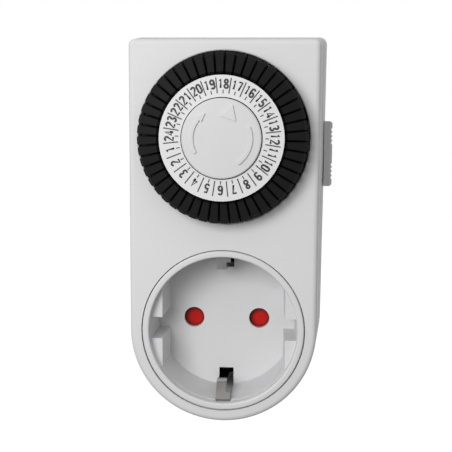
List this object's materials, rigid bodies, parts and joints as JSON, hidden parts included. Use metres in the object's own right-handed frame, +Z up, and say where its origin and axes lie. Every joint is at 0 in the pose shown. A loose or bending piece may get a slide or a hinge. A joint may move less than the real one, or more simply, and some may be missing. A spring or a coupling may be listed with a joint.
{
  "type": "plug-in timer switch",
  "caption": "Plug-in 24-hour timer switch: tappet dial, override slider, shuttered earthed socket in front, round-pin earthed plug behind.",
  "frame": {"origin": "centre between the two plug pins on the plug face", "axes": "+X right seen from the front, +Y out of the plug face along the pins into the outlet, +Z up"},
  "size_m": [0.0582, 0.0758, 0.109],
  "materials": {
    "housing_white": "fine satin moulded thermoplastic",
    "insert_white": "smooth moulded thermoplastic",
    "shutter_red": "smooth red thermoplastic",
    "cover_grey": "plain thermoplastic",
    "ring_white": "printed white thermoplastic",
    "cap_white": "smooth white thermoplastic",
    "tappet_black": "satin black thermoplastic",
    "drum_black": "black thermoplastic",
    "slider_grey": "smooth grey thermoplastic",
    "plate_grey": "glass filled thermoplastic",
    "gear_acetal": "natural acetal",
    "case_black": "thermoset",
    "pin_nickel": "nickel plated brass",
    "strip_brass": "rolled brass strip",
    "earth_steel": "nickel plated spring bronze",
    "screw_steel": "zinc plated steel",
    "motor_steel": "pressed steel",
    "coil_copper": "enamelled copper winding on a bobbin",
    "rotor_ferrite": "bonded ferrite magnet on a steel shaft"
  },
  "bodies": {
    "housing": {"front_housing": "housing_white", "rear_housing": "housing_white", "housing_screws": "screw_steel", "socket_insert": "insert_white", "shutter_cover": "cover_grey", "shutter_spring": "screw_steel", "socket_earth_bow": "earth_steel", "plug_earth_bow": "earth_steel", "live_pin": "pin_nickel", "neutral_pin": "pin_nickel", "live_contact": "strip_brass", "neutral_contact": "strip_brass", "live_feed_strip": "strip_brass", "switched_strip": "strip_brass", "mechanism_front_plate": "plate_grey", "mechanism_rear_plate": "plate_grey", "gear_arbors": "screw_steel", "motor_claw_plate": "motor_steel", "motor_cup": "motor_steel", "motor_coil": "coil_copper", "pointer_cap": "cap_white", "microswitch_case": "case_black"},
    "dial": {"dial_carrier": "drum_black", "number_ring": "ring_white"},
    "slider": {"override_slider": "slider_grey"},
    "lever": {"follower_lever": "gear_acetal"},
    "button": {"microswitch_button": "shutter_red"},
    "blade": {"snap_blade": "earth_steel"},
    "shutter": {"shutter": "shutter_red"},
    "rotor": {"rotor": "rotor_ferrite"},
    "wheel_1": {"wheel_1": "gear_acetal"},
    "wheel_2": {"wheel_2": "gear_acetal"},
    "wheel_3": {"wheel_3": "gear_acetal"},
    "wheel_4": {"wheel_4": "gear_acetal"},
    "clutch_wheel": {"clutch_wheel": "strip_brass"},
    "clutch_pinion": {"clutch_pinion": "strip_brass"},
    "tappets_01": {"tappets_hour_01": "tappet_black"},
    "tappets_02": {"tappets_hour_02": "tappet_black"},
    "tappets_03": {"tappets_hour_03": "tappet_black"},
    "tappets_04": {"tappets_hour_04": "tappet_black"},
    "tappets_05": {"tappets_hour_05": "tappet_black"},
    "tappets_06": {"tappets_hour_06": "tappet_black"},
    "tappets_07": {"tappets_hour_07": "tappet_black"},
    "tappets_08": {"tappets_hour_08": "tappet_black"},
    "tappets_09": {"tappets_hour_09": "tappet_black"},
    "tappets_10": {"tappets_hour_10": "tappet_black"},
    "tappets_11": {"tappets_hour_11": "tappet_black"},
    "tappets_12": {"tappets_hour_12": "tappet_black"},
    "tappets_13": {"tappets_hour_13": "tappet_black"},
    "tappets_14": {"tappets_hour_14": "tappet_black"},
    "tappets_15": {"tappets_hour_15": "tappet_black"},
    "tappets_16": {"tappets_hour_16": "tappet_black"},
    "tappets_17": {"tappets_hour_17": "tappet_black"},
    "tappets_18": {"tappets_hour_18": "tappet_black"},
    "tappets_19": {"tappets_hour_19": "tappet_black"},
    "tappets_20": {"tappets_hour_20": "tappet_black"},
    "tappets_21": {"tappets_hour_21": "tappet_black"},
    "tappets_22": {"tappets_hour_22": "tappet_black"},
    "tappets_23": {"tappets_hour_23": "tappet_black"},
    "tappets_24": {"tappets_hour_24": "tappet_black"}
  },
  "joints": [
    {"name": "dial_spin", "type": "hinge", "parent": "housing", "child": "dial", "pos_m": [0, 0, 0.0527], "axis": [0, 1, 0], "continuous": true},
    {"name": "clutch_pinion_spin", "type": "hinge", "parent": "housing", "child": "clutch_pinion", "pos_m": [-0.01212, 0, 0.0597], "axis": [0, 1, 0], "continuous": true},
    {"name": "rotor_spin", "type": "hinge", "parent": "housing", "child": "rotor", "pos_m": [-0.00316, 0, 0.05301], "axis": [0, 1, 0], "continuous": true},
    {"name": "wheel_1_spin", "type": "hinge", "parent": "housing", "child": "wheel_1", "pos_m": [0.00835, 0, 0.052], "axis": [0, 1, 0], "continuous": true},
    {"name": "wheel_2_spin", "type": "hinge", "parent": "housing", "child": "wheel_2", "pos_m": [0.01036, 0, 0.04063], "axis": [0, 1, 0], "continuous": true},
    {"name": "wheel_3_spin", "type": "hinge", "parent": "housing", "child": "wheel_3", "pos_m": [-0.00094, 0, 0.04303], "axis": [0, 1, 0], "continuous": true},
    {"name": "wheel_4_spin", "type": "hinge", "parent": "housing", "child": "wheel_4", "pos_m": [-0.01212, 0, 0.0471], "axis": [0, 1, 0], "continuous": true},
    {"name": "clutch_wheel_spin", "type": "hinge", "parent": "housing", "child": "clutch_wheel", "pos_m": [-0.01212, 0, 0.0597], "axis": [0, 1, 0], "continuous": true},
    {"name": "slider_slide", "type": "slide", "parent": "housing", "child": "slider", "axis": [0, 0, -1], "range_m": [0, 0.004]},
    {"name": "lever_tilt", "type": "hinge", "parent": "housing", "child": "lever", "pos_m": [0.02099, -0.039, 0.06805], "axis": [0, 0, -1], "range_deg": [0, 6]},
    {"name": "button_press", "type": "slide", "parent": "housing", "child": "button", "axis": [0, 1, 0], "range_m": [0, 0.00048]},
    {"name": "blade_bend", "type": "hinge", "parent": "housing", "child": "blade", "pos_m": [0.01759, -0.02312, 0.053], "axis": [-1, 0, 0], "range_deg": [0, 1.85]},
    {"name": "shutter_turn", "type": "hinge", "parent": "housing", "child": "shutter", "pos_m": [0, -0.0269, 0], "axis": [0, -1, 0], "range_deg": [0, 42], "stiffness_Nm_per_rad": 0.002, "springref_deg": -17.19, "deforming": ["shutter_spring"]},
    {"name": "hour_01_push", "type": "slide", "parent": "dial", "child": "tappets_01", "axis": [0, 1, 0], "range_m": [0, 0.00255]},
    {"name": "hour_02_push", "type": "slide", "parent": "dial", "child": "tappets_02", "axis": [0, 1, 0], "range_m": [0, 0.00255]},
    {"name": "hour_03_push", "type": "slide", "parent": "dial", "child": "tappets_03", "axis": [0, 1, 0], "range_m": [0, 0.00255]},
    {"name": "hour_04_push", "type": "slide", "parent": "dial", "child": "tappets_04", "axis": [0, 1, 0], "range_m": [0, 0.00255]},
    {"name": "hour_05_push", "type": "slide", "parent": "dial", "child": "tappets_05", "axis": [0, 1, 0], "range_m": [0, 0.00255]},
    {"name": "hour_06_push", "type": "slide", "parent": "dial", "child": "tappets_06", "axis": [0, 1, 0], "range_m": [0, 0.00255]},
    {"name": "hour_07_push", "type": "slide", "parent": "dial", "child": "tappets_07", "axis": [0, 1, 0], "range_m": [0, 0.00255]},
    {"name": "hour_08_push", "type": "slide", "parent": "dial", "child": "tappets_08", "axis": [0, 1, 0], "range_m": [0, 0.00255]},
    {"name": "hour_09_push", "type": "slide", "parent": "dial", "child": "tappets_09", "axis": [0, 1, 0], "range_m": [0, 0.00255]},
    {"name": "hour_10_push", "type": "slide", "parent": "dial", "child": "tappets_10", "axis": [0, 1, 0], "range_m": [0, 0.00255]},
    {"name": "hour_11_push", "type": "slide", "parent": "dial", "child": "tappets_11", "axis": [0, 1, 0], "range_m": [0, 0.00255]},
    {"name": "hour_12_push", "type": "slide", "parent": "dial", "child": "tappets_12", "axis": [0, 1, 0], "range_m": [0, 0.00255]},
    {"name": "hour_13_push", "type": "slide", "parent": "dial", "child": "tappets_13", "axis": [0, 1, 0], "range_m": [0, 0.00255]},
    {"name": "hour_14_push", "type": "slide", "parent": "dial", "child": "tappets_14", "axis": [0, 1, 0], "range_m": [0, 0.00255]},
    {"name": "hour_15_push", "type": "slide", "parent": "dial", "child": "tappets_15", "axis": [0, 1, 0], "range_m": [0, 0.00255]},
    {"name": "hour_16_push", "type": "slide", "parent": "dial", "child": "tappets_16", "axis": [0, 1, 0], "range_m": [0, 0.00255]},
    {"name": "hour_17_push", "type": "slide", "parent": "dial", "child": "tappets_17", "axis": [0, 1, 0], "range_m": [0, 0.00255]},
    {"name": "hour_18_push", "type": "slide", "parent": "dial", "child": "tappets_18", "axis": [0, 1, 0], "range_m": [0, 0.00255]},
    {"name": "hour_19_push", "type": "slide", "parent": "dial", "child": "tappets_19", "axis": [0, 1, 0], "range_m": [0, 0.00255]},
    {"name": "hour_20_push", "type": "slide", "parent": "dial", "child": "tappets_20", "axis": [0, 1, 0], "range_m": [0, 0.00255]},
    {"name": "hour_21_push", "type": "slide", "parent": "dial", "child": "tappets_21", "axis": [0, 1, 0], "range_m": [0, 0.00255]},
    {"name": "hour_22_push", "type": "slide", "parent": "dial", "child": "tappets_22", "axis": [0, 1, 0], "range_m": [0, 0.00255]},
    {"name": "hour_23_push", "type": "slide", "parent": "dial", "child": "tappets_23", "axis": [0, 1, 0], "range_m": [0, 0.00255]},
    {"name": "hour_24_push", "type": "slide", "parent": "dial", "child": "tappets_24", "axis": [0, 1, 0], "range_m": [0, 0.00255]}
  ],
  "couplings": [
    {"joint": "clutch_pinion_spin", "follows": "dial_spin", "ratio": -9},
    {"joint": "wheel_1_spin", "follows": "rotor_spin", "ratio": -0.1},
    {"joint": "wheel_2_spin", "follows": "rotor_spin", "ratio": 0.01},
    {"joint": "wheel_3_spin", "follows": "rotor_spin", "ratio": -0.001},
    {"joint": "wheel_4_spin", "follows": "rotor_spin", "ratio": 0.00013333},
    {"joint": "clutch_wheel_spin", "follows": "rotor_spin", "ratio": -0.000016667},
    {"joint": "lever_tilt", "follows": "slider_slide", "rad_per_m": 26.17},
    {"joint": "button_press", "follows": "slider_slide", "ratio": 0.1175},
    {"joint": "blade_bend", "follows": "slider_slide", "rad_per_m": 8.045}
  ]
}
